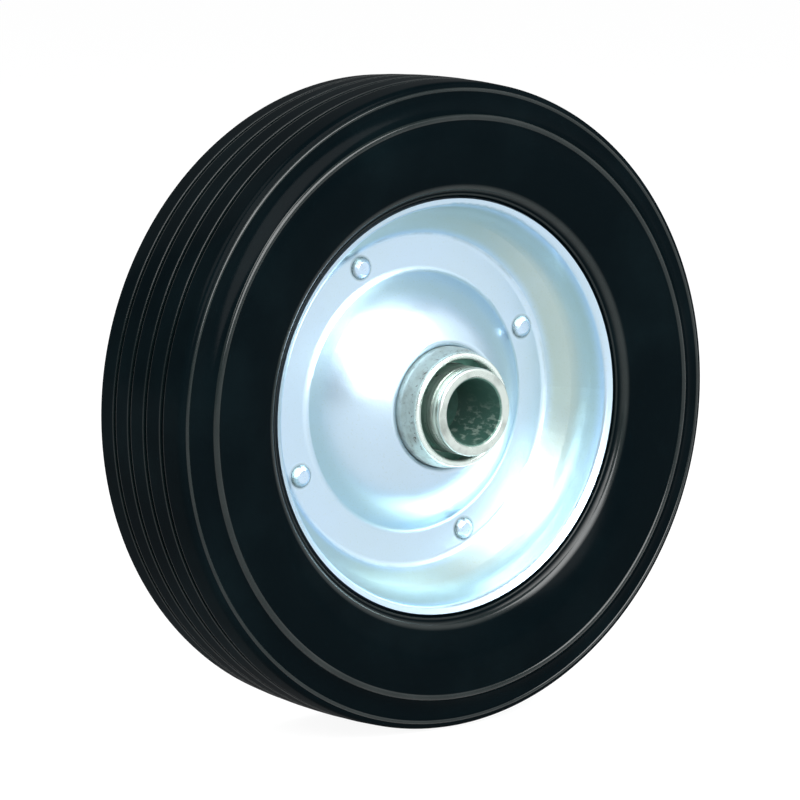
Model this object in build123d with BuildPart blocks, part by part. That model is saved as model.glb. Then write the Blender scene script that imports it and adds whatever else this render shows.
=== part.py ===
"""Solid rubber wheel on a pressed steel centre, turning on two ball bearings.

The wheel spins about the Y axis and its centre is the origin. The two sides are
called near (towards -Y) and far (towards +Y). Sections are drawn in the XY plane,
with X as the radius and Y as the offset from the wheel's middle, and are turned
about Y. Pieces that both sides have are drawn on the far side and mirrored.
"""

from build123d import *
from math import sqrt
import os

# Axle and hub length
axle_radius = 10.0
axle_clearance = 0.1
hub_half_length = 33.0
bore_chamfer = 0.8

# Solid tyre
tyre_radius = 100.0
tyre_half_width = 26.0
crown_half_width = 22.0
crown_drop = 0.9
crown_edge_bend = 1.9
shoulder_step = 2.3
shoulder_lip = 0.3
shoulder_bead = 0.65
shoulder_sink = 0.15
side_line_radius = 88.6
side_line_bead = 1.1
side_line_sink = 0.5
widest_radius = 82.0
bead_radius = 67.0
bead_inset = 3.2
bead_bend = 1.5
rim_ridge = 0.45
rim_ridge_share = 0.35
tyre_base_radius = 55.0

# Grooves round the tread
groove_offsets = (4.25, 12.75)
groove_width = 1.6
groove_depth = 2.0

# Pressed steel discs, measured on the face that shows
sheet = 1.3
collar_length = 8.0
neck_height = 19.8
neck_bend = 1.5
dome_radius = 31.2
dome_height = 12.3
dome_bend = 55.0
land_inner_radius = 40.5
land_outer_radius = 51.3
land_bend = 2.5
bowl_radius = 59.6
bowl_height = 10.5
bowl_bend = 14.0
lip_root_radius = 61.7
lip_root_height = 19.6
lip_bend = 1.9
lip_radius = 63.8
lip_height = 20.5

# Rivets that hold the two discs together
rivet_count = 4
rivet_circle_radius = 46.6
rivet_first_angle = 25.0
rivet_shank_radius = 2.0
rivet_hole_clearance = 0.1
rivet_head_radius = 3.5
rivet_head_height = 1.7
rivet_edge_height = 0.4
rivet_top_radius = 2.0
rivet_top_bend = 0.9

# Hub shell with its spun ends
shell_radius = 18.6
shell_wall = 2.0
race_seat_wall = 1.2
spun_length = 6.6
spun_taper = 1.2
mouth_wall = 2.1
mouth_roundness = 0.48
spun_shoulder = 1.0

# Ball bearings
ball_radius = 3.97 / 2
ball_count = 10
ball_clearance = 0.08
ball_row_offset = 15.3
pitch_radius = 14.45
track_gap = 1.5
outer_race_half_width = 3.3
inner_race_reach = 4.3
race_edge = 0.3

# Ball cages
cage_wall = 0.9
cage_half_width = 2.6
pocket_clearance = 0.12

# Nose of the inner race, which stands out of the hub
nose_radius = 13.5
nose_edge_bend = 0.9
nose_groove_setbacks = (1.6, 4.3)
nose_groove_width = 0.9
nose_groove_depth = 0.4

# Spacer and dust seals
spacer_wall = 2.4
seal_width = 1.8
seal_clearance = 0.25
seal_gap = 0.4

# Sizes that follow from the ones above
bore_radius = axle_radius + axle_clearance
crown_edge_radius = tyre_radius - crown_drop
shoulder_radius = crown_edge_radius - shoulder_step
sidewall_bend = ((widest_radius - bead_radius) ** 2 + bead_inset**2) / (2 * bead_inset)
side_line_drop = sidewall_bend - sqrt(sidewall_bend**2 - (side_line_radius - widest_radius) ** 2)
side_line_offset = tyre_half_width - side_line_drop
race_seat_radius = shell_radius - race_seat_wall
outer_race_inner_end = ball_row_offset - outer_race_half_width
outer_race_outer_end = ball_row_offset + outer_race_half_width
seal_outer_end = outer_race_outer_end + seal_width
shell_half_length = seal_outer_end + spun_length
mouth_radius = shell_radius - spun_taper
mouth_bore_radius = mouth_radius - mouth_wall
inner_shoulder_radius = pitch_radius - track_gap / 2
outer_shoulder_radius = pitch_radius + track_gap / 2
track_radius = ball_radius + ball_clearance
inner_race_inner_end = ball_row_offset - inner_race_reach
inner_shoulder_end = outer_race_outer_end - seal_gap

os.makedirs("parts", exist_ok=True)


def keep(piece, name):
    """Label a finished piece and write it to its own file."""
    piece.part.label = name
    export_step(piece.part, f"parts/{name}.step")


def keep_both_sides(far_piece, name):
    """Keep a piece of the far side, and its mirror image on the near side."""
    keep(far_piece, f"{name}_far")
    with BuildPart() as near_piece:
        mirror(far_piece.part, about=Plane.XZ)
    keep(near_piece, f"{name}_near")


# The showing face of the far disc, from the end of its collar out to its lip
disc_corners = [
    (shell_radius, neck_height - collar_length),
    (shell_radius, neck_height),
    (dome_radius, dome_height),
    (land_inner_radius, sheet),
    (land_outer_radius, sheet),
    (bowl_radius, bowl_height),
    (lip_root_radius, lip_root_height),
    (lip_radius, lip_height),
]
disc_bends = [neck_bend, dome_bend, land_bend, land_bend, bowl_bend, lip_bend]

# Pressed discs: the sheet lies behind the showing face
with BuildSketch() as disc_section:
    with BuildLine():
        showing_face = FilletPolyline(*disc_corners, radius=disc_bends)
        offset(showing_face, amount=sheet, side=Side.RIGHT)
    make_face()

with BuildPart() as disc:
    add(disc_section.sketch)
    revolve(axis=Axis.Y)
    with BuildSketch(Plane.XZ):
        with PolarLocations(rivet_circle_radius, rivet_count, start_angle=rivet_first_angle):
            Circle(rivet_shank_radius + rivet_hole_clearance)
    extrude(amount=2 * sheet, both=True, mode=Mode.SUBTRACT)
keep_both_sides(disc, "rim_disc")

# Rivets: a shank with the same flat-topped head at both ends
with BuildPart() as rivet:
    with BuildSketch(Plane.XZ) as rivet_section:
        with BuildLine():
            Polyline(
                (0, 0),
                (rivet_shank_radius, 0),
                (rivet_shank_radius, sheet),
                (rivet_head_radius, sheet),
                (rivet_head_radius, sheet + rivet_edge_height),
                (rivet_top_radius, sheet + rivet_head_height),
                (0, sheet + rivet_head_height),
                close=True,
            )
        make_face()
        rivet_top = rivet_section.vertices().group_by(Axis.Y)[-1].sort_by(Axis.X)[-1]
        fillet(rivet_top, radius=rivet_top_bend)
    revolve(axis=Axis.Z)
    mirror(about=Plane.XY)

with BuildPart(Plane.XZ) as disc_rivets:
    with PolarLocations(rivet_circle_radius, rivet_count, start_angle=rivet_first_angle):
        add(rivet.part)
keep(disc_rivets, "disc_rivets")

# Tyre: its seat is the outer face of the two discs
with BuildSketch() as seat_section:
    with BuildLine():
        seat_face = FilletPolyline(*disc_corners, radius=disc_bends)
        Polyline(seat_face @ 1, (0, lip_height), (0, neck_height - collar_length), seat_face @ 0)
    make_face()
    add(disc_section.sketch)

lip_back = disc_section.sketch.vertices().sort_by(Axis.X)[-1]

with BuildSketch() as tyre_section:
    with BuildLine():
        Polyline(
            (tyre_radius, 0),
            (tyre_base_radius, 0),
            (tyre_base_radius, lip_back.Y),
            (lip_back.X, lip_back.Y),
        )
        bead_flank = Line(
            (lip_back.X, lip_back.Y),
            (bead_radius, tyre_half_width - bead_inset),
        )
        ThreePointArc(
            (bead_radius, tyre_half_width - bead_inset),
            (widest_radius, tyre_half_width),
            (side_line_radius, side_line_offset),
        )
        Polyline(
            (side_line_radius, side_line_offset),
            (shoulder_radius, crown_half_width + shoulder_lip),
            (crown_edge_radius, crown_half_width),
        )
        ThreePointArc(
            (crown_edge_radius, crown_half_width),
            (tyre_radius - crown_drop / 4, crown_half_width / 2),
            (tyre_radius, 0),
        )
    make_face()
    crown_edge = tyre_section.vertices().sort_by_distance((crown_edge_radius, crown_half_width))[0]
    fillet(crown_edge, radius=crown_edge_bend)
    bead_edge = tyre_section.vertices().sort_by_distance((bead_radius, tyre_half_width - bead_inset))[0]
    fillet(bead_edge, radius=bead_bend)
    with Locations((side_line_radius, side_line_offset - side_line_sink)):
        Circle(side_line_bead)
    with Locations((shoulder_radius, crown_half_width + shoulder_lip - shoulder_sink)):
        Circle(shoulder_bead)
    with Locations(bead_flank @ rim_ridge_share):
        Circle(rim_ridge)
    add(seat_section.sketch, mode=Mode.SUBTRACT)
    mirror(about=Plane.XZ)
    for groove_offset in groove_offsets:
        with Locations((tyre_radius, groove_offset), (tyre_radius, -groove_offset)):
            Rectangle(2 * groove_depth, groove_width, mode=Mode.SUBTRACT)

with BuildPart() as tyre:
    add(tyre_section.sketch)
    revolve(axis=Axis.Y)
keep(tyre, "tyre")

# Hub shell: a tube with a seat for each bearing, spun in over the seals
with BuildSketch() as shell_section:
    with BuildLine():
        Polyline(
            (shell_radius, 0),
            (shell_radius - shell_wall, 0),
            (shell_radius - shell_wall, outer_race_inner_end),
            (race_seat_radius, outer_race_inner_end),
            (race_seat_radius, seal_outer_end),
            (race_seat_radius - spun_shoulder, seal_outer_end),
            (mouth_bore_radius, shell_half_length),
            (mouth_radius, shell_half_length),
            (shell_radius, seal_outer_end),
            close=True,
        )
    make_face()
    spun_corners = shell_section.vertices().group_by(Axis.Y)[-1]
    fillet(spun_corners, radius=mouth_roundness * mouth_wall)
    mirror(about=Plane.XZ)

with BuildPart() as hub_shell:
    add(shell_section.sketch)
    revolve(axis=Axis.Y)
keep(hub_shell, "hub_shell")

# Outer races, pressed into the shell
with BuildPart() as outer_race:
    with BuildSketch():
        with Locations(((race_seat_radius + outer_shoulder_radius) / 2, ball_row_offset)):
            race_block = Rectangle(race_seat_radius - outer_shoulder_radius, 2 * outer_race_half_width)
        fillet(race_block.vertices().group_by(Axis.X)[0], radius=race_edge)
        with Locations((pitch_radius, ball_row_offset)):
            Circle(track_radius, mode=Mode.SUBTRACT)
    revolve(axis=Axis.Y)
keep_both_sides(outer_race, "outer_race")

# Inner races: a ball track, and a long nose that stands out of the hub
with BuildSketch() as inner_race_section:
    with BuildLine():
        Polyline(
            (bore_radius, inner_race_inner_end),
            (inner_shoulder_radius, inner_race_inner_end),
            (inner_shoulder_radius, inner_shoulder_end),
            (nose_radius, inner_shoulder_end),
            (nose_radius, hub_half_length),
            (bore_radius, hub_half_length),
            close=True,
        )
    make_face()
    nose_end = inner_race_section.vertices().group_by(Axis.Y)[-1].sort_by(Axis.X)
    chamfer(nose_end[0], length=bore_chamfer)
    fillet(nose_end[-1], radius=nose_edge_bend)
    with Locations((pitch_radius, ball_row_offset)):
        Circle(track_radius, mode=Mode.SUBTRACT)
    for nose_groove_setback in nose_groove_setbacks:
        with Locations((nose_radius, hub_half_length - nose_groove_setback)):
            Rectangle(2 * nose_groove_depth, nose_groove_width, mode=Mode.SUBTRACT)

with BuildPart() as inner_race:
    add(inner_race_section.sketch)
    revolve(axis=Axis.Y)
keep_both_sides(inner_race, "inner_race")

# Spacer tube, clamped between the two inner races
with BuildPart() as spacer_tube:
    with BuildSketch():
        with Locations((bore_radius + spacer_wall / 2, 0)):
            Rectangle(spacer_wall, 2 * inner_race_inner_end)
    revolve(axis=Axis.Y)
keep(spacer_tube, "spacer_tube")

# Ball cages: a ring between the two races, with a round pocket for each ball
with BuildPart() as ball_cage:
    with BuildSketch():
        with Locations((pitch_radius, ball_row_offset)):
            Rectangle(cage_wall, 2 * cage_half_width)
    revolve(axis=Axis.Y)
    with BuildSketch(Plane.YZ) as pockets:
        with Locations((ball_row_offset, 0)):
            Circle(ball_radius + pocket_clearance)
    for pocket in range(ball_count):
        turned = pockets.sketch.rotate(Axis.Y, 360 / ball_count * pocket)
        extrude(turned, amount=2 * pitch_radius, mode=Mode.SUBTRACT)
keep_both_sides(ball_cage, "ball_cage")

# Balls, numbered round each row
ball_places = PolarLocations(pitch_radius, ball_count)
for number, place in enumerate(ball_places, start=1):
    with BuildPart() as ball:
        with Locations(Plane.XZ.offset(-ball_row_offset) * place):
            Sphere(ball_radius)
    keep_both_sides(ball, f"ball_{number:02d}")

# Dust seals: a pressed ring held by the shell, which clears the nose
with BuildPart() as dust_seal:
    with BuildSketch():
        seal_inner_radius = nose_radius + seal_clearance
        with Locations(((race_seat_radius + seal_inner_radius) / 2, seal_outer_end - seal_width / 2)):
            Rectangle(race_seat_radius - seal_inner_radius, seal_width)
    revolve(axis=Axis.Y)
keep_both_sides(dust_seal, "dust_seal")
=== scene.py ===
"""Solid rubber wheel on a zinc-plated pressed centre: its finishes, turned pieces and studio.

Lengths are in metres. The wheel spins about Y, the near side faces -Y and +Z is up. A
section is a closed outline of (radius, offset from the wheel's middle), turned about Y.
"""

import math

import bmesh
import bpy
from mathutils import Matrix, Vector


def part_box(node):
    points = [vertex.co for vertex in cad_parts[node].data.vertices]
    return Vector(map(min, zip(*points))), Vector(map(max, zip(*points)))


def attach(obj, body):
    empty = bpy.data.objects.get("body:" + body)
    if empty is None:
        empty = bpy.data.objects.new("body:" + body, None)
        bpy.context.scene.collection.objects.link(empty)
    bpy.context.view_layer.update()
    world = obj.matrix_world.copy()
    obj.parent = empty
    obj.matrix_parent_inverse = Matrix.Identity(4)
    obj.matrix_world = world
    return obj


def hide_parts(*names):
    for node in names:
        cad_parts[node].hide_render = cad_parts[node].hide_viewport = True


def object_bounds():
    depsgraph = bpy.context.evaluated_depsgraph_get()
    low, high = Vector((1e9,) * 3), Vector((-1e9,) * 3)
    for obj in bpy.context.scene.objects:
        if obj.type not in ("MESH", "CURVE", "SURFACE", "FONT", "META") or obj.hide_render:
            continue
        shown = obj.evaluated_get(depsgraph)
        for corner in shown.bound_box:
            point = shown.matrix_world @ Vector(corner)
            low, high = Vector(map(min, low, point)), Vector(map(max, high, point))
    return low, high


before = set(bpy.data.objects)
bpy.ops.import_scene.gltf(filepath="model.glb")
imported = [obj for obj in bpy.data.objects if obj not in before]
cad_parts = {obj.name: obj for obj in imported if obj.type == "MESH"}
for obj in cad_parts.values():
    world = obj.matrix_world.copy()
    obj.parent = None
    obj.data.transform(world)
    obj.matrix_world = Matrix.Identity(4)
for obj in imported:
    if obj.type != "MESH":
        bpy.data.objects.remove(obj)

bl_info = {
    "name": "Solid Rubber Wheel",
    "version": (1, 0, 0),
    "blender": (4, 5, 0),
    "location": "3D View > Sidebar > Wheel",
    "description": "Builds the tyre, rivets, finishes and studio of a solid rubber wheel",
    "category": "Object",
}

MM = 0.001

# Points nearer than this are one point
WELD = 0.001 * MM

WHITE = (1.0, 1.0, 1.0, 1.0)

# The tyre's seat, a little clear of the back of the discs, in millimetres
SEAT = ((64.36, 19.28), (62.97, 18.50), (61.10, 10.10), (55.00, 3.20))

CAD_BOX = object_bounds()

# The highest corners of the CAD pieces that the shapes and finishes here follow
TYRE_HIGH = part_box("tyre")[1]
RIVET_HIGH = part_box("disc_rivets")[1]
SHELL_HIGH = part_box("hub_shell")[1]


def length(name, description, millimetres):
    """A size that is stored in metres."""
    return bpy.props.FloatProperty(
        name=name,
        description=description,
        default=millimetres * MM,
        min=0.0,
        precision=5,
        subtype="DISTANCE",
        unit="LENGTH",
    )


def colour(name, description, red, green, blue):
    """A linear colour."""
    return bpy.props.FloatVectorProperty(
        name=name,
        description=description,
        default=(red, green, blue),
        subtype="COLOR",
        min=0.0,
        max=1.0,
    )


def share(name, description, default):
    """A number from 0 to 1."""
    return bpy.props.FloatProperty(
        name=name, description=description, default=default, min=0.0, max=1.0, subtype="FACTOR"
    )


# Sizes and colours that a user would change


class TyreSettings(bpy.types.PropertyGroup):
    crown_half_width: length("Crown Half Width", "From the middle of the tread to its edge", 22.0)
    crown_drop: length("Crown Drop", "How much lower the tread's edge is than its middle", 0.9)
    crown_bend: length("Crown Bend", "Radius of the tread's rounded edge", 1.9)
    first_groove: length("First Groove", "From the middle of the tread to the inner grooves", 4.25)
    second_groove: length("Second Groove", "From the middle of the tread to the outer grooves", 12.75)
    groove_width: length("Groove Width", "Width of a groove", 1.6)
    groove_depth: length("Groove Depth", "Depth of a groove", 2.0)
    groove_bend: length("Groove Bend", "Radius of a groove's edges", 0.22)
    shoulder_radius: length("Shoulder Radius", "Radius of the raised line under the tread", 96.8)
    shoulder_offset: length("Shoulder Offset", "Offset of the raised line under the tread", 22.3)
    shoulder_bead: length("Shoulder Bead", "Radius of the bead on that line", 0.65)
    side_radius: length("Side Line Radius", "Radius of the raised line where the sidewall begins", 88.6)
    side_offset: length("Side Line Offset", "Offset of the raised line where the sidewall begins", 25.4)
    side_bead: length("Side Bead", "Radius of the bead on that line", 1.1)
    widest_radius: length("Widest Radius", "Radius where the sidewall is widest", 82.0)
    heel_radius: length("Heel Radius", "Radius of the sidewall's inner edge", 67.0)
    heel_offset: length("Heel Offset", "Offset of the sidewall's inner edge", 22.8)
    heel_bend: length("Heel Bend", "Radius of the sidewall's rounded inner edge", 1.5)
    ridge_radius: length("Ridge Radius", "Radius of the small ridge beside the disc's lip", 65.25)
    ridge_offset: length("Ridge Offset", "Offset of the small ridge beside the disc's lip", 20.53)
    ridge_bead: length("Ridge Bead", "Radius of the bead on that ridge", 0.45)
    steps_round: bpy.props.IntProperty(
        name="Steps Round", description="Steps in a whole turn of the tyre", default=224, min=16
    )
    rubber: colour("Rubber Colour", "Colour of the clean rubber", 0.0007, 0.0020, 0.0028)
    bloom: colour("Bloom Colour", "Colour of the faint dusty bloom on the rubber", 0.0019, 0.0047, 0.0059)
    # Paler colour along the ridges: a painted highlight.
    ridge_highlight: colour("Crest Colour", "Colour of the rubber along its ridges", 0.004, 0.008, 0.008)
    sheen: share("Sheen", "Gloss of the rubber away from its ridges", 0.04)


class PlateSettings(bpy.types.PropertyGroup):
    zinc: colour("Zinc Colour", "Colour of the bright zinc plate", 0.61, 0.79, 0.97)
    # Colour of the dull clouds, and in the bowl partly painted shade.
    dull_and_shaded: colour("Dull Colour", "Colour of the zinc where it is dull", 0.49, 0.60, 0.56)
    # Colour of the painted shade in the crease, at the neck and round the rivets, on the discs and down the
    # rivets' sides.
    painted_shade_colour: colour("Grime Colour", "Colour of the dirt in creases and round rivets", 0.10, 0.14, 0.13)
    roughness: share("Roughness", "Mean roughness of the zinc plate", 0.30)


class RivetSettings(bpy.types.PropertyGroup):
    count: bpy.props.IntProperty(name="Count", description="Number of rivets", default=4, min=1)
    circle_radius: length("Circle Radius", "Radius of the circle that the rivets stand on", 46.6)
    first_angle: bpy.props.FloatProperty(
        name="First Angle",
        description="Angle of the first rivet, from +X towards +Z",
        default=math.radians(25.0),
        subtype="ANGLE",
        unit="ROTATION",
    )
    head_radius: length("Head Radius", "Radius of a rivet's head", 3.5)
    head_edge: length("Head Edge", "Height of the upright edge of a head", 0.4)
    top_radius: length("Top Radius", "Radius of the flat top of a head", 2.0)
    top_bend: length("Top Bend", "Radius of the rounded edge of the top", 0.9)
    shank_radius: length("Shank Radius", "Radius of the shank through the discs", 2.0)
    sheet: length("Sheet", "Thickness of one disc", 1.3)


class HubSettings(bpy.types.PropertyGroup):
    shell: colour("Shell Colour", "Colour of the bare hub shell", 0.50, 0.56, 0.54)
    rust: colour("Stain Colour", "Colour of the specks and stains on the shell", 0.13, 0.11, 0.09)
    nose: colour("Nose Colour", "Colour of the turned inner race", 0.66, 0.74, 0.70)
    film: colour("Film Colour", "Colour of the oily film in the bore and on the seals", 0.042, 0.110, 0.088)
    # Colour of the painted highlights streaked in the bore's oily film.
    streak_highlight: colour("Streak Colour", "Colour of the bright streaks in the film", 0.21, 0.29, 0.25)
    bore_radius: length("Bore Radius", "Radius of the axle bore", 10.1)


class StudioSettings(bpy.types.PropertyGroup):
    key_power: bpy.props.FloatProperty(
        name="Key Power",
        description="Power of the large lamp in front, which the others follow",
        default=70.0,
        min=0.0,
        subtype="POWER",
        unit="POWER",
    )
    room: share("Room Light", "Strength of the even light that the room casts", 0.45)
    mirrored_room: share("Mirrored Room", "Strength of the room where a surface mirrors it", 0.38)


# Nodes


class Term:
    """A value in a node tree that can be written in an expression: each operation adds a Math node."""

    def __init__(self, graph, socket):
        self.graph = graph
        self.socket = socket

    def maths(self, operation, *values):
        return self.graph.node("ShaderNodeMath", {"operation": operation}, dict(enumerate(values)))

    def __add__(self, other):
        return self.maths("ADD", self, other)

    def __sub__(self, other):
        return self.maths("SUBTRACT", self, other)

    def __mul__(self, other):
        return self.maths("MULTIPLY", self, other)

    def __truediv__(self, other):
        return self.maths("DIVIDE", self, other)

    def __floordiv__(self, other):
        return self.maths("FLOOR", self / other)

    def __mod__(self, other):
        return self.maths("FLOORED_MODULO", self, other)

    def __pow__(self, power):
        return self.maths("POWER", self, power)

    def __rsub__(self, other):
        return self.maths("SUBTRACT", other, self)

    def __abs__(self):
        return self.maths("ABSOLUTE", self)

    def clamp(self):
        return self.graph.node("ShaderNodeClamp", {}, {"Value": self, "Min": 0.0, "Max": 1.0}, "Result")


class Graph:
    """A node tree under construction."""

    def __init__(self, tree):
        self.tree = tree

    def node(self, kind, settings, values, output=0):
        """Add a node: its settings first, then its sockets' values or links. Returns one output."""
        made = self.tree.nodes.new(kind)
        for key, value in settings.items():
            setattr(made, key, value)
        for key, value in values.items():
            if isinstance(value, Term):
                self.tree.links.new(value.socket, made.inputs[key])
            else:
                made.inputs[key].default_value = value
        return Term(self, made.outputs[output])

    def split(self, vector):
        """The three numbers of a vector."""
        x = self.node("ShaderNodeSeparateXYZ", {}, {"Vector": vector})
        return [Term(self, output) for output in x.socket.node.outputs]

    def join(self, x, y, z):
        """A vector from three numbers."""
        return self.node("ShaderNodeCombineXYZ", {}, {"X": x, "Y": y, "Z": z})

    def rays(self, *kinds):
        """For each kind of ray, a value that is 1 on such a ray and 0 on others."""
        path = self.tree.nodes.new("ShaderNodeLightPath")
        return [Term(self, path.outputs[f"Is {kind} Ray"]) for kind in kinds]

    def end(self, kind, result):
        """End the tree in an output node of this kind."""
        output = self.tree.nodes.new(kind)
        self.tree.links.new(result.socket, output.inputs[0])


# Shapes


class Shape(Graph):
    """A geometry tree with named inputs, which ends in one mesh."""

    def __init__(self, name, **inputs):
        super().__init__(bpy.data.node_groups.new(name, "GeometryNodeTree"))
        self.tree.interface.new_socket("Mesh", in_out="OUTPUT", socket_type="NodeSocketGeometry")
        self.sockets = {}
        for key, kind in {"Section": "Geometry", **inputs}.items():
            made = self.tree.interface.new_socket(
                key.replace("_", " "), in_out="INPUT", socket_type=f"NodeSocket{kind}"
            )
            self.sockets[key] = made.identifier
        group_input = self.tree.nodes.new("NodeGroupInput")
        for key, output in zip(self.sockets, group_input.outputs):
            setattr(self, key, Term(self, output))

    def attribute(self, name):
        return self.node(
            "GeometryNodeInputNamedAttribute", {"data_type": "FLOAT"}, {"Name": name}, "Attribute"
        )

    def end_mesh(self, mesh):
        """End in this mesh, and return the whole shape."""
        self.end("NodeGroupOutput", mesh)
        return self

    def end_solid(self, mesh, material):
        """Realize what was instanced, give it its material and end."""
        real = self.node("GeometryNodeRealizeInstances", {}, {"Geometry": mesh})
        painted = self.node("GeometryNodeSetMaterial", {}, {"Geometry": real, "Material": material})
        return self.end_mesh(painted)

    def turn(self, turned, section):
        """Turn a section about Y with the shape that does so."""
        return self.node(
            "GeometryNodeGroup",
            {"node_tree": turned.tree},
            {"Section": section, "Bend Steps": self.Bend_Steps, "Steps Round": self.Steps_Round},
        )


def turned_shape():
    """Rounds a section's corners by their bend and turns it about Y, and keeps their marks."""
    shape = Shape("Turned Section", Bend_Steps="Int", Steps_Round="Int")
    outline = shape.node("GeometryNodeMeshToCurve", {}, {"Mesh": shape.Section})
    outline = shape.node(
        "GeometryNodeFilletCurve",
        {"mode": "POLY"},
        {
            "Curve": outline,
            "Count": shape.Bend_Steps,
            "Radius": shape.attribute("bend"),
            "Limit Radius": True,
        },
    )
    points = shape.node(
        "GeometryNodeAttributeDomainSize", {"component": "CURVE"}, {"Geometry": outline}, "Point Count"
    )
    rows = points + 1.0
    index = shape.node("GeometryNodeInputIndex", {}, {})
    step = index // rows
    source = (index - step * rows) % points
    position = shape.node("GeometryNodeInputPosition", {}, {})
    place = shape.node(
        "GeometryNodeSampleIndex",
        {"data_type": "FLOAT_VECTOR", "domain": "POINT"},
        {"Geometry": outline, "Value": position, "Index": source},
    )
    mark = shape.node(
        "GeometryNodeSampleIndex",
        {"data_type": "FLOAT", "domain": "POINT"},
        {"Geometry": outline, "Value": shape.attribute("mark"), "Index": source},
    )
    radius, offset, _ = shape.split(place)
    angle = step / shape.Steps_Round * math.tau
    turned = shape.join(
        radius * angle.maths("COSINE", angle), offset, radius * angle.maths("SINE", angle)
    )
    mesh = shape.node(
        "GeometryNodeMeshGrid", {}, {"Vertices X": shape.Steps_Round + 1.0, "Vertices Y": rows}, "Mesh"
    )
    mesh = shape.node(
        "GeometryNodeStoreNamedAttribute",
        {"data_type": "FLOAT", "domain": "POINT"},
        {"Geometry": mesh, "Name": "mark", "Value": mark},
    )
    mesh = shape.node("GeometryNodeSetPosition", {}, {"Geometry": mesh, "Position": turned})
    mesh = shape.node("GeometryNodeMergeByDistance", {}, {"Geometry": mesh, "Distance": WELD})
    mesh = shape.node("GeometryNodeSetShadeSmooth", {}, {"Geometry": mesh, "Shade Smooth": True})
    return shape.end_mesh(mesh)


def tyre_shape(turned):
    """The tyre: the groove floors sink by the groove depth before the section is turned."""
    shape = Shape(
        "Ribbed Tyre", Groove_Depth="Float", Bend_Steps="Int", Steps_Round="Int", Rubber="Material"
    )
    sunk = shape.node(
        "GeometryNodeSetPosition",
        {},
        {
            "Geometry": shape.Section,
            "Offset": shape.join(0.0 - shape.attribute("floor") * shape.Groove_Depth, 0.0, 0.0),
        },
    )
    return shape.end_solid(shape.turn(turned, sunk), shape.Rubber)


def rivets_shape(turned):
    """The rivets: one turned rivet, at even steps round a circle."""
    shape = Shape(
        "Rivet Circle",
        Count="Int",
        Circle_Radius="Float",
        First_Angle="Float",
        Bend_Steps="Int",
        Steps_Round="Int",
        Zinc="Material",
    )
    rivet = shape.turn(turned, shape.Section)
    index = shape.node("GeometryNodeInputIndex", {}, {})
    angle = shape.First_Angle + index / shape.Count * math.tau
    place = shape.join(
        shape.Circle_Radius * angle.maths("COSINE", angle),
        0.0,
        shape.Circle_Radius * angle.maths("SINE", angle),
    )
    points = shape.node("GeometryNodePoints", {}, {"Count": shape.Count, "Position": place})
    mesh = shape.node("GeometryNodeInstanceOnPoints", {}, {"Points": points, "Instance": rivet})
    return shape.end_solid(mesh, shape.Zinc)


def add_object(name, data):
    """A new object in the scene."""
    made = bpy.data.objects.new(name, data)
    bpy.context.scene.collection.objects.link(made)
    return made


def make_piece(name, section, shape, **values):
    """Run a shape on a section and keep the result as a plain mesh whose faces point outwards."""
    outline = bpy.data.meshes.new(f"{name}_section")
    places = [(radius, offset, 0.0) for radius, offset, _ in section]
    edges = [(number, (number + 1) % len(places)) for number in range(len(places))]
    outline.from_pydata(places, edges, [])
    for key in ("bend", "mark", "floor"):
        layer = outline.attributes.new(key, "FLOAT", "POINT")
        layer.data.foreach_set("value", [extra[key] for _, _, extra in section])
    piece = add_object(name, outline)
    modifier = piece.modifiers.new("shape", "NODES")
    modifier.node_group = shape.tree
    for key, value in values.items():
        modifier[shape.sockets[key]] = value
    evaluated = piece.evaluated_get(bpy.context.evaluated_depsgraph_get())
    mesh = bpy.data.meshes.new_from_object(evaluated)
    piece.modifiers.clear()
    piece.data = mesh
    mesh.name = name
    bpy.data.meshes.remove(outline)
    work = bmesh.new()
    work.from_mesh(mesh)
    if work.calc_volume(signed=True) < 0.0:
        bmesh.ops.reverse_faces(work, faces=work.faces)
    work.to_mesh(mesh)
    work.free()
    if not mesh.polygons:
        raise RuntimeError(f"{name} came out empty")
    return piece


# Sections


def corner(radius, offset, bend=0.0, mark=0.0, floor=0.0):
    """One corner of a section: the radius that rounds it, its mark, and 1 for floor in a groove."""
    return radius, offset, {"bend": bend, "mark": mark, "floor": floor}


def arc(first, middle, last, steps):
    """Corners along the circle through three places, without its two ends."""
    (ax, ay), (bx, by), (cx, cy) = first, middle, last
    span = 2.0 * (ax * (by - cy) + bx * (cy - ay) + cx * (ay - by))
    a2, b2, c2 = ax * ax + ay * ay, bx * bx + by * by, cx * cx + cy * cy
    x = (a2 * (by - cy) + b2 * (cy - ay) + c2 * (ay - by)) / span
    y = (a2 * (cx - bx) + b2 * (ax - cx) + c2 * (bx - ax)) / span
    size = math.hypot(ax - x, ay - y)
    start = math.atan2(ay - y, ax - x)
    sweep = math.remainder(math.atan2(cy - y, cx - x) - start, math.tau)
    turns = [start + sweep * step / steps for step in range(1, steps)]
    return [corner(x + size * math.cos(turn), y + size * math.sin(turn)) for turn in turns]


def bead(radius, offset, size, first_angle, last_angle, mark):
    """Corners round a raised bead, from one angle to another in degrees. Its ends carry no mark."""
    steps = 7
    made = []
    for step in range(steps + 1):
        angle = math.radians(first_angle + (last_angle - first_angle) * step / steps)
        place = (radius + size * math.cos(angle), offset + size * math.sin(angle))
        made.append(corner(*place, mark=mark if 0 < step < steps else 0.0))
    return made


def mirrored(half):
    """A whole section from its far half, which runs outwards from the middle."""
    near = [(radius, -offset, extra) for radius, offset, extra in reversed(half) if offset > 0.0]
    return half + near


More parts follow.
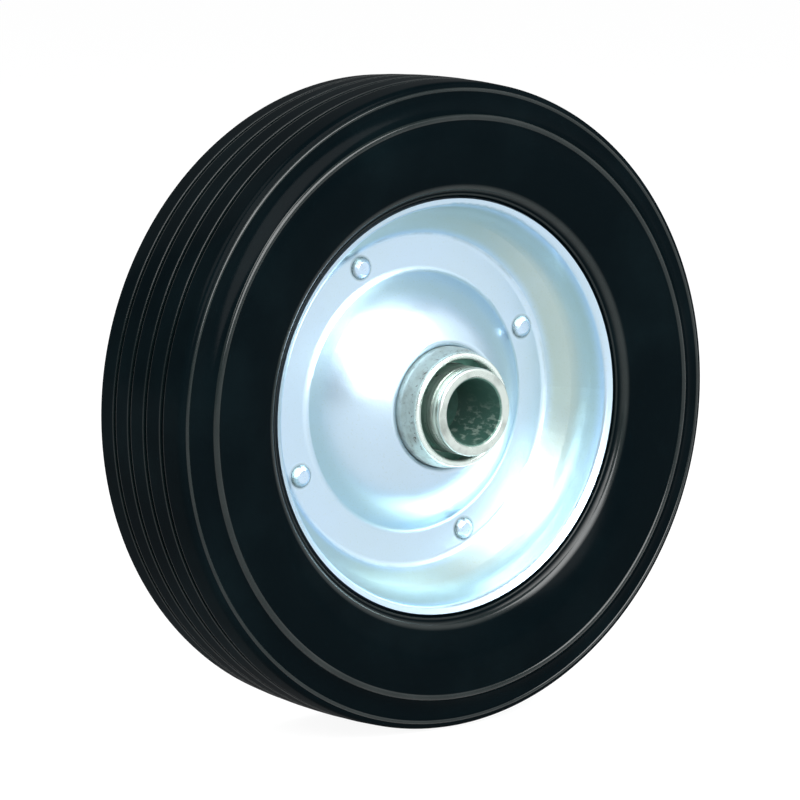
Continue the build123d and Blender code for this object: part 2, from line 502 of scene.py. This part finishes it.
def tyre_section(settings):
    """The tyre's outline: tread with its grooves, shoulder line, side line, sidewall, heel and seat."""
    crown = TYRE_HIGH[0]
    width = settings.crown_half_width
    keep_flat = 0.35 * MM
    shoulder_sink = 0.15 * MM
    side_sink = 0.5 * MM
    sidewall_steps = 22

    def tread(offset):
        return crown - settings.crown_drop * (offset / width) ** 2

    # A mark makes the rubber glossier and paints it paler, a painted highlight: on the groove edges, the
    # beads and the heel.
    half = [corner(crown, 0.0)]
    for middle in (settings.first_groove, settings.second_groove):
        inner, outer = middle - settings.groove_width / 2, middle + settings.groove_width / 2
        half += [
            corner(tread(inner), inner - keep_flat - settings.groove_bend),
            corner(tread(inner), inner, settings.groove_bend, mark=0.5),
            corner(tread(inner), inner, settings.groove_bend, floor=1.0),
            corner(tread(outer), outer, settings.groove_bend, floor=1.0),
            corner(tread(outer), outer, settings.groove_bend, mark=0.5),
            corner(tread(outer), outer + keep_flat + settings.groove_bend),
        ]
    before_bend = width - settings.crown_bend - keep_flat
    half += [
        corner(tread(before_bend), before_bend),
        corner(tread(width), width, settings.crown_bend),
    ]
    half += bead(
        settings.shoulder_radius,
        settings.shoulder_offset - shoulder_sink,
        settings.shoulder_bead,
        first_angle=12.0,
        last_angle=143.0,
        mark=1.0,
    )
    half += bead(
        settings.side_radius,
        settings.side_offset - side_sink,
        settings.side_bead,
        first_angle=5.0,
        last_angle=143.0,
        mark=0.8,
    )
    side = (settings.side_radius, settings.side_offset)
    widest = (settings.widest_radius, TYRE_HIGH[1])
    heel = (settings.heel_radius, settings.heel_offset)
    past_bead = settings.side_radius - settings.side_bead * 1.1
    before_heel = settings.heel_radius + settings.heel_bend
    sidewall = arc(side, widest, heel, sidewall_steps)
    half += [place for place in sidewall if before_heel < place[0] < past_bead]
    # The heel's mark paints the sheen on the heel's bend: a painted highlight.
    half.append(corner(*heel, settings.heel_bend, mark=0.7))
    half += bead(
        settings.ridge_radius,
        settings.ridge_offset,
        settings.ridge_bead,
        first_angle=52.0,
        last_angle=232.0,
        mark=0.5,
    )
    half += [corner(radius * MM, offset * MM) for radius, offset in SEAT]
    return mirrored(half)


def rivet_section(settings):
    """A rivet with a flat-topped head on each side of the two discs."""
    top = RIVET_HIGH[1]
    # The mark at the foot of the head sets a painted shadow down its side.
    half = [
        corner(settings.shank_radius, settings.sheet),
        corner(settings.head_radius, settings.sheet, mark=1.0),
        corner(settings.head_radius, settings.sheet + settings.head_edge, 0.2 * MM, mark=1.0),
        corner(settings.top_radius, top, settings.top_bend),
        corner(0.0, top),
    ]
    return mirrored(half)


# Finishes


class Finish(Graph):
    """A node material under construction."""

    def __init__(self, name):
        self.material = bpy.data.materials.new(name)
        self.material.use_nodes = True
        super().__init__(self.material.node_tree)
        self.tree.nodes.clear()
        self.place = self.node("ShaderNodeTexCoord", {}, {}, "Object")

    def radius(self):
        """Distance from the wheel's axis."""
        x, _, z = self.split(self.place)
        return (x * x + z * z) ** 0.5

    def offset(self):
        """Distance from the wheel's middle plane."""
        return abs(self.split(self.place)[1])

    def noise(self, scale, detail=4.0, roughness=0.55, place=None):
        """Soft noise from 0 to 1, with this many swings in a metre."""
        return self.node(
            "ShaderNodeTexNoise",
            {},
            {"Vector": place or self.place, "Scale": scale, "Detail": detail, "Roughness": roughness},
            "Fac",
        )

    def stretched(self, along, across):
        """Object coordinates scaled along the axle and across it, so noise has no scale of its own."""
        return self.node(
            "ShaderNodeMapping", {}, {"Vector": self.place, "Scale": (across, along, across)}, "Vector"
        )

    def ramp(self, value, low, high):
        """0 below low, 1 above high, smooth between."""
        return self.node(
            "ShaderNodeMapRange",
            {"interpolation_type": "SMOOTHSTEP"},
            {"Value": value, "From Min": low, "From Max": high},
            "Result",
        )

    def ring(self, value, middle, reach):
        """1 where the value is at the middle, and 0 further off than the reach."""
        return 1.0 - self.ramp(abs(value - middle), 0.0, reach)

    def mark(self):
        """The mark that a turned piece carries: on the tyre it paints a highlight along the ridges, and on
        the rivets a shade down their sides.
        """
        return self.node("ShaderNodeAttribute", {"attribute_name": "mark"}, {}, "Fac")

    def mix(self, amount, first, second):
        """Mix two colours, each a Term or three numbers."""
        factor, first_colour, second_colour, result = 0, 6, 7, 2
        first, second = (tint if isinstance(tint, Term) else (*tint, 1.0) for tint in (first, second))
        return self.node(
            "ShaderNodeMix",
            {"data_type": "RGBA"},
            {factor: amount, first_colour: first, second_colour: second},
            result,
        )

    def bump(self, height, distance, strength, under=None):
        """Small relief of this height, over the relief under it."""
        values = {"Height": height, "Distance": distance, "Strength": strength}
        if under:
            values["Normal"] = under
        return self.node("ShaderNodeBump", {}, values, "Normal")

    def close(self, **sockets):
        """End the material in one Principled shader."""
        values = {key.replace("_", " "): value for key, value in sockets.items()}
        self.end("ShaderNodeOutputMaterial", self.node("ShaderNodeBsdfPrincipled", {}, values))
        return self.material


def scaled(tint, factor):
    """A colour made lighter or darker."""
    return tuple(min(1.0, channel * factor) for channel in tint)


def rubber_finish(settings):
    """Moulded black rubber: fine grain, a faint dusty bloom, and glossier ridges painted paler as a
    highlight.
    """
    finish = Finish("Moulded Rubber")
    ridge_highlight = finish.ramp(finish.mark(), low=0.10, high=0.75)
    patches = finish.ramp(finish.noise(24.0, detail=5.0), low=0.42, high=0.74)
    specks = finish.ramp(finish.noise(1100.0, detail=2.0), low=0.60, high=0.76)
    bloom = (patches * 0.6 + specks * 0.3).clamp()
    clean = finish.mix(bloom, settings.rubber, settings.bloom)
    uneven = finish.noise(70.0, detail=3.0) * 0.5 + 0.5
    # The coat is glossier along the ridges, and the base colour there is mixed towards the ridge colour: a
    # painted highlight.
    worn = (ridge_highlight * uneven + settings.sheen).clamp()
    grain = finish.bump(finish.noise(2400.0, detail=3.0), distance=0.06 * MM, strength=0.5)
    relief = finish.bump(finish.noise(110.0, detail=2.0), distance=0.3 * MM, strength=0.12, under=grain)
    return finish.close(
        Base_Color=finish.mix(worn, clean, settings.ridge_highlight),
        Roughness=finish.noise(45.0) * 0.16 + 0.21 - ridge_highlight * 0.06,
        Coat_Weight=worn,
        Coat_Roughness=0.17,
        Coat_IOR=1.5,
        Normal=relief,
        IOR=1.5,
        Specular_IOR_Level=0.0,
    )


def zinc_finish(settings, rivets):
    """Bright zinc plate: clouds, flecks, a duller bowl that partly carries painted shade, and painted shade
    in the crease, at the neck and round the rivets.
    """
    finish = Finish("Bright Zinc Plate")
    radius = finish.radius()
    x, _, z = finish.split(finish.place)
    clouds = finish.noise(34.0, detail=5.0)
    flecks = finish.ramp(finish.noise(1500.0, detail=2.0), low=0.58, high=0.72)
    # Painted shade: a dark line in the crease at the land's outer edge, where the bend mirrors the dark
    # tyre.
    crease = finish.ring(radius, middle=51.7 * MM, reach=0.8 * MM)
    # Painted shade where the disc's neck meets the hub shell.
    neck = finish.ring(radius, middle=19.3 * MM, reach=1.3 * MM)
    pitch = math.tau / rivets.count
    angle = z.maths("ARCTAN2", z, x) - rivets.first_angle
    round_rivet = (angle + pitch / 2) % pitch - pitch / 2
    across = radius * round_rivet.maths("SINE", round_rivet)
    along = radius * round_rivet.maths("COSINE", round_rivet) - rivets.circle_radius
    apart = (across * across + along * along) ** 0.5
    # Painted shadow in a ring round the foot of each rivet's head.
    collar = finish.ring(apart, middle=rivets.head_radius + 0.15 * MM, reach=0.75 * MM)
    patchy = finish.ramp(finish.noise(60.0), low=0.38, high=0.66)
    # Crease, neck and rivet rings together: painted shade, which also makes the zinc less metallic and
    # rougher there.
    painted_shade = ((crease * 0.50 + neck * 0.25) * patchy + collar * 0.55).clamp()
    # The bowl between land and lip is mixed towards the dull colour: partly the pressing's duller tone,
    # partly painted shade for the dark tyre that it mirrors.
    past_land = finish.ramp(radius, low=51.5 * MM, high=54.0 * MM)
    past_bowl = finish.ramp(radius, low=60.6 * MM, high=61.6 * MM)
    bowl = past_land - past_bowl
    dull_and_shade_amount = (clouds * 0.6 + flecks * 0.2 + bowl * 0.7 - 0.1).clamp()
    dull_and_shaded = finish.mix(dull_and_shade_amount, settings.zinc, settings.dull_and_shaded)
    waves = finish.bump(finish.noise(150.0, detail=3.0), distance=0.5 * MM, strength=0.16)
    relief = finish.bump(finish.noise(1800.0, detail=2.0), distance=0.05 * MM, strength=0.30, under=waves)
    smoothest = settings.roughness - 0.06
    return finish.close(
        Base_Color=finish.mix(painted_shade, dull_and_shaded, settings.painted_shade_colour),
        Metallic=1.0 - painted_shade * 0.5,
        Roughness=clouds * 0.14 + flecks * 0.06 + painted_shade * 0.2 + smoothest + bowl * 0.03,
        Normal=relief,
    )


def rivet_finish(settings):
    """Zinc-plated rivets with painted shade down their sides."""
    finish = Finish("Zinc Rivet")
    patchy = finish.noise(420.0, detail=3.0) * 0.5 + 0.6
    # Painted shadow down the head's sides, from the mark at its foot.
    painted_shade = (finish.ramp(finish.mark(), low=0.15, high=0.9) * patchy).clamp()
    worn = finish.noise(900.0, detail=3.0)
    return finish.close(
        Base_Color=finish.mix(painted_shade, settings.zinc, settings.painted_shade_colour),
        Metallic=1.0 - painted_shade * 0.4,
        Roughness=worn * 0.16 + 0.20,
        Normal=finish.bump(worn, distance=0.08 * MM, strength=0.4),
    )


def shell_finish(settings):
    """Bare drawn steel: a pale skin with specks, and a polished end where it is spun in."""
    finish = Finish("Bare Drawn Steel")
    end = SHELL_HIGH[1]
    polished = finish.ramp(finish.offset(), low=end - 1.5 * MM, high=end - 0.9 * MM)
    near_end = finish.ring(finish.offset(), middle=end - 2.3 * MM, reach=1.6 * MM)
    specks = finish.ramp(finish.noise(900.0, detail=3.0, roughness=0.6), low=0.55, high=0.68)
    blotches = finish.ramp(finish.noise(210.0), low=0.45, high=0.75)
    stained = (specks * (near_end * 0.7 + 0.25) + blotches * 0.34).clamp() * (1.0 - polished * 0.8)
    skin = finish.mix(polished, settings.shell, scaled(settings.shell, 1.5))
    relief = finish.bump(finish.noise(520.0, roughness=0.6), distance=0.22 * MM, strength=0.45)
    return finish.close(
        Base_Color=finish.mix(stained, skin, settings.rust),
        Metallic=0.9,
        Roughness=0.42 - polished * 0.16 + blotches * 0.12,
        Normal=relief,
    )


def nose_finish(settings):
    """Turned steel that goes to a dark oily film inside the bore, with painted highlights streaked along
    the bore's lower side.
    """
    finish = Finish("Turned Race Steel")
    radius = finish.radius()
    _, _, height = finish.split(finish.place)
    bore = settings.bore_radius
    inside = 1.0 - finish.ramp(radius, low=bore + 0.25 * MM, high=bore + 0.7 * MM)
    turned = finish.stretched(along=1500.0, across=60.0)
    rings = finish.noise(1.0, detail=3.0, roughness=0.6, place=turned)
    smears = finish.noise(260.0)
    wiped = finish.stretched(along=300.0, across=760.0)
    wet = finish.noise(1.0, roughness=0.6, place=wiped)
    # Painted highlights: bright streaks in the oily film, stronger on the bore's lower side, where the key
    # lamp falls.
    lit_lower_side = 1.0 - finish.ramp(height, low=-6.0 * MM, high=4.0 * MM)
    streak_highlights = finish.ramp(wet, low=0.50, high=0.66) * (lit_lower_side * 0.85 + 0.1)
    # The oily film with its painted highlight streaks.
    oily = finish.mix(streak_highlights.clamp(), settings.film, settings.streak_highlight)
    marks = finish.ramp(rings + smears * 0.4, low=0.62, high=0.92)
    steel = finish.mix(marks, settings.nose, scaled(settings.nose, 0.50))
    return finish.close(
        Base_Color=finish.mix(inside, steel, oily),
        Metallic=0.95 - inside * 0.65,
        Roughness=smears * 0.20 + 0.20 + inside * 0.1,
        Normal=finish.bump(rings, distance=0.10 * MM, strength=0.40),
    )


def seal_finish(settings):
    """Dust seal and spacer under a dark film of old grease."""
    finish = Finish("Greased Seal")
    film = finish.noise(420.0)
    return finish.close(
        Base_Color=finish.mix(film, settings.film, scaled(settings.film, 3.0)),
        Metallic=0.3,
        Roughness=film * 0.3 + 0.25,
        Normal=finish.bump(film, distance=0.2 * MM, strength=0.4),
    )


def bearing_finish(name, steel, smoothest):
    """Hard bearing steel with a thin smear of oil."""
    finish = Finish(name)
    smear = finish.noise(320.0)
    return finish.close(
        Base_Color=finish.mix(smear, steel, scaled(steel, 0.7)),
        Metallic=1.0,
        Roughness=smear * 0.12 + smoothest,
        Normal=finish.bump(smear, distance=0.03 * MM, strength=0.3),
    )


def put_finish(piece, material):
    """Give a piece one finish in place of what it has."""
    piece.data.materials.clear()
    piece.data.materials.append(material)


def both_sides(name):
    """The near and the far node of a pair."""
    return [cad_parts[f"{name}_{side}"] for side in ("near", "far")]


# Studio


def direction(azimuth, elevation):
    """The unit vector of a direction in degrees: azimuth 0 is -Y, and 90 is +X."""
    azimuth, elevation = math.radians(azimuth), math.radians(elevation)
    level = math.cos(elevation)
    return Vector((math.sin(azimuth) * level, -math.cos(azimuth) * level, math.sin(elevation)))


def stand(name, data, back, distance, shift=(0.0, 0.0, 0.0)):
    """A camera or lamp that faces the wheel's middle from this direction and distance, then shifts."""
    turn = (-back).to_track_quat("-Z", "Y")
    made = add_object(name, data)
    made.rotation_mode = "QUATERNION"
    made.rotation_quaternion = turn
    made.location = back * distance + turn @ Vector(shift)
    return made


def make_camera():
    """A long lens on the near side, above and to the left of the axle."""
    camera = bpy.data.cameras.new("Camera")
    camera.lens = 180.5
    camera.sensor_width = 36.0
    camera.clip_start = 0.05
    camera.clip_end = 50.0
    back = direction(azimuth=-36.25, elevation=8.27)
    made = stand("Camera", camera, back, distance=1.238, shift=(-0.0032, -0.00011, 0.0))
    bpy.context.scene.camera = made


def make_floor():
    """A plain pale floor that keeps the wheel's shadow, and is white to the camera."""
    low = CAD_BOX[0][2]
    size = 6.0
    mesh = bpy.data.meshes.new("floor")
    corners = [(-size, -size, low), (size, -size, low), (size, size, low), (-size, size, low)]
    mesh.from_pydata(corners, [], [(0, 1, 2, 3)])
    floor = add_object("floor", mesh)
    finish = Finish("Pale Floor")
    seen, mirrored = finish.rays("Camera", "Glossy")
    diffuse = finish.node("ShaderNodeBsdfDiffuse", {}, {"Color": (0.90, 0.91, 0.92, 1.0)})
    seen_glow, mirrored_glow, seen_white = 1.08, 0.97, 0.86
    strength = seen * seen_glow + mirrored * mirrored_glow
    glow = finish.node("ShaderNodeEmission", {}, {"Color": WHITE, "Strength": strength})
    white = (seen * seen_white + mirrored).clamp()
    surface = finish.node("ShaderNodeMixShader", {}, {0: white, 1: diffuse, 2: glow})
    finish.end("ShaderNodeOutputMaterial", surface)
    put_finish(floor, finish.material)


def make_lamp(name, azimuth, elevation, distance, size, power):
    """A soft lamp that faces the wheel's middle, with its width and height in metres."""
    lamp = bpy.data.lights.new(name, "AREA")
    lamp.shape = "RECTANGLE"
    lamp.size, lamp.size_y = size
    lamp.energy = power
    stand(name, lamp, direction(azimuth, elevation), distance)


def make_lamps(power):
    """A broad key in front, a panel high on the left, a weak one on the right, and a backdrop."""
    make_lamp("key", azimuth=-10.0, elevation=35.0, distance=1.7, size=(1.85, 1.5), power=power)
    make_lamp("left", azimuth=-112.0, elevation=50.0, distance=1.8, size=(1.3, 1.4), power=power * 0.40)
    make_lamp("right", azimuth=58.0, elevation=26.0, distance=1.7, size=(1.5, 1.6), power=power * 0.085)
    make_lamp("backdrop", azimuth=155.0, elevation=22.0, distance=2.2, size=(4.0, 2.6), power=power * 0.34)


def make_room(settings):
    """Even room light: white behind the wheel, weaker where a surface mirrors it."""
    world = bpy.data.worlds.new("Room")
    bpy.context.scene.world = world
    world.use_nodes = True
    room = Graph(world.node_tree)
    room.tree.nodes.clear()
    seen, mirrored, through = room.rays("Camera", "Glossy", "Transmission")
    lighting = 1.0 - (seen + through + mirrored).clamp()
    strength = (seen + through).clamp() + mirrored * settings.mirrored_room + lighting * settings.room
    light = room.node("ShaderNodeBackground", {}, {"Color": WHITE, "Strength": strength})
    room.end("ShaderNodeOutputWorld", light)


# Operators, one for each piece or group of like pieces


class WHEEL_OT_tyre(bpy.types.Operator):
    """Build the ribbed tyre from its section and finish it in moulded rubber"""

    bl_idname = "wheel.tyre"
    bl_label = "Tyre"

    def execute(self, context):
        settings = context.scene.wheel_tyre
        tyre = make_piece(
            "tyre_rubber",
            tyre_section(settings),
            tyre_shape(turned_shape()),
            Groove_Depth=settings.groove_depth,
            Bend_Steps=4,
            Steps_Round=settings.steps_round,
            Rubber=rubber_finish(settings),
        )
        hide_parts("tyre")
        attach(tyre, "wheel")
        return {"FINISHED"}


class WHEEL_OT_rivets(bpy.types.Operator):
    """Set the rivets round the land of the discs"""

    bl_idname = "wheel.rivets"
    bl_label = "Rivets"

    def execute(self, context):
        settings = context.scene.wheel_rivets
        rivets = make_piece(
            "land_rivets",
            rivet_section(settings),
            rivets_shape(turned_shape()),
            Count=settings.count,
            Circle_Radius=settings.circle_radius,
            First_Angle=settings.first_angle,
            Bend_Steps=5,
            Steps_Round=40,
            Zinc=rivet_finish(context.scene.wheel_plate),
        )
        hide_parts("disc_rivets")
        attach(rivets, "wheel")
        return {"FINISHED"}


class WHEEL_OT_discs(bpy.types.Operator):
    """Finish the two pressed discs in bright zinc"""

    bl_idname = "wheel.discs"
    bl_label = "Pressed Discs"

    def execute(self, context):
        zinc = zinc_finish(context.scene.wheel_plate, context.scene.wheel_rivets)
        for disc in both_sides("rim_disc"):
            put_finish(disc, zinc)
        return {"FINISHED"}


class WHEEL_OT_hub(bpy.types.Operator):
    """Finish the hub shell, inner races, seals and spacer"""

    bl_idname = "wheel.hub"
    bl_label = "Hub"

    def execute(self, context):
        settings = context.scene.wheel_hub
        put_finish(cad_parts["hub_shell"], shell_finish(settings))
        nose = nose_finish(settings)
        for race in both_sides("inner_race"):
            put_finish(race, nose)
        film = seal_finish(settings)
        for piece in (*both_sides("dust_seal"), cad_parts["spacer_tube"]):
            put_finish(piece, film)
        return {"FINISHED"}


class WHEEL_OT_bearings(bpy.types.Operator):
    """Finish the balls, cages and outer races"""

    bl_idname = "wheel.bearings"
    bl_label = "Bearings"

    def execute(self, context):
        hard = bearing_finish("Ball Steel", steel=(0.62, 0.64, 0.66), smoothest=0.08)
        soft = bearing_finish("Cage Steel", steel=(0.46, 0.45, 0.42), smoothest=0.30)
        for name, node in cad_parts.items():
            if name.startswith("ball_cage"):
                put_finish(node, soft)
            elif name.startswith(("ball_", "outer_race")):
                put_finish(node, hard)
        return {"FINISHED"}


class WHEEL_OT_studio(bpy.types.Operator):
    """Set up the floor, lamps, room light and camera"""

    bl_idname = "wheel.studio"
    bl_label = "Studio"

    def execute(self, context):
        settings = context.scene.wheel_studio
        make_camera()
        make_floor()
        make_lamps(settings.key_power)
        make_room(settings)
        context.scene.view_settings.view_transform = "Standard"
        return {"FINISHED"}


class WHEEL_PT_pieces(bpy.types.Panel):
    """Lists the wheel's pieces and their settings"""

    bl_label = "Solid Rubber Wheel"
    bl_idname = "WHEEL_PT_pieces"
    bl_space_type = "VIEW_3D"
    bl_region_type = "UI"
    bl_category = "Wheel"

    def draw(self, context):
        for operator in OPERATORS:
            self.layout.operator(operator.bl_idname)
        for group in SETTINGS:
            settings = getattr(context.scene, group)
            for name in settings.__annotations__:
                self.layout.prop(settings, name)


SETTINGS = {
    "wheel_tyre": TyreSettings,
    "wheel_plate": PlateSettings,
    "wheel_rivets": RivetSettings,
    "wheel_hub": HubSettings,
    "wheel_studio": StudioSettings,
}
OPERATORS = (
    WHEEL_OT_tyre,
    WHEEL_OT_discs,
    WHEEL_OT_rivets,
    WHEEL_OT_hub,
    WHEEL_OT_bearings,
    WHEEL_OT_studio,
)


def register():
    for made in (*SETTINGS.values(), *OPERATORS, WHEEL_PT_pieces):
        bpy.utils.register_class(made)
    for name, group in SETTINGS.items():
        setattr(bpy.types.Scene, name, bpy.props.PointerProperty(type=group))


def unregister():
    for name in SETTINGS:
        delattr(bpy.types.Scene, name)
    for made in reversed((*SETTINGS.values(), *OPERATORS, WHEEL_PT_pieces)):
        bpy.utils.unregister_class(made)


def main():
    register()
    bpy.ops.wheel.tyre()
    bpy.ops.wheel.discs()
    bpy.ops.wheel.rivets()
    bpy.ops.wheel.hub()
    bpy.ops.wheel.bearings()
    bpy.ops.wheel.studio()


if __name__ == "__main__":
    main()
